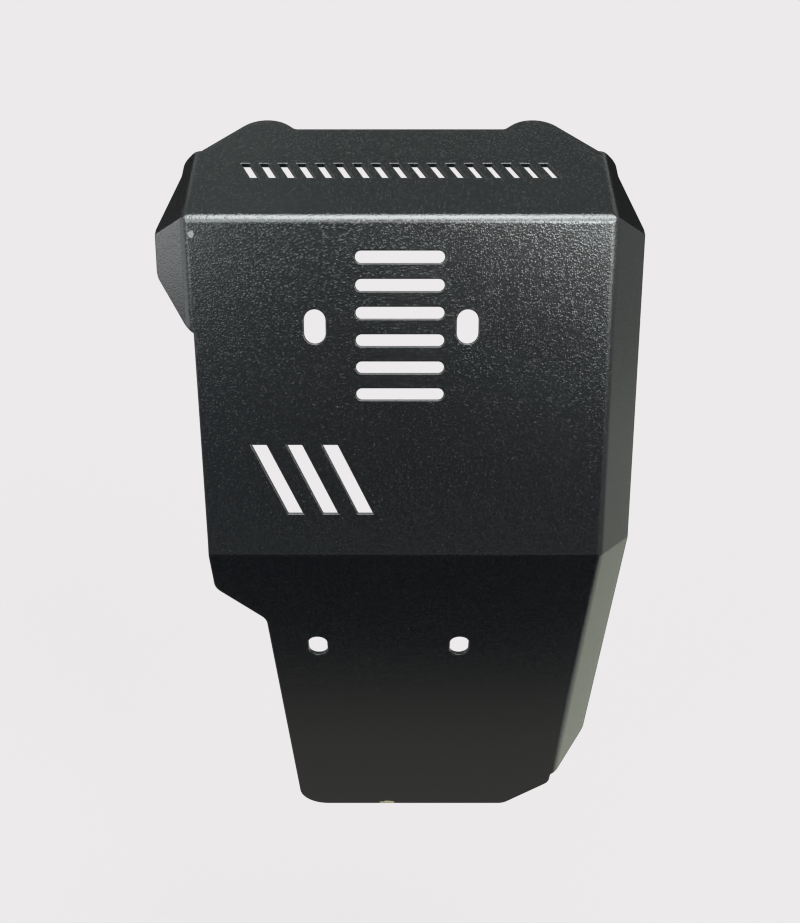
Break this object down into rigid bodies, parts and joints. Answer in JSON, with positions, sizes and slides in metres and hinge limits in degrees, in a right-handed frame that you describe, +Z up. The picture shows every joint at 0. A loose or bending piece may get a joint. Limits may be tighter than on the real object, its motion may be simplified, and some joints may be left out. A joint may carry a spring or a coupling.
{
  "type": "motorcycle engine guard",
  "caption": "Folded steel guard for the front of a motorcycle engine, with a leaning top lip, vented front panel, lower panel, side flanges and bolt slots, in black textured powder coat.",
  "frame": {"origin": "on the front panel's inner face, on the plate's centre line, level with the upper bolt slots", "axes": "+Z up along the front panel, +X to the right seen from the outside, +Y from the outside towards the engine"},
  "size_m": [0.2006, 0.105, 0.3676],
  "materials": {
    "black_powder_coat": "fine textured black powder coat"
  },
  "bodies": {
    "root": {"guard_plate": "black_powder_coat"}
  },
  "joints": []
}
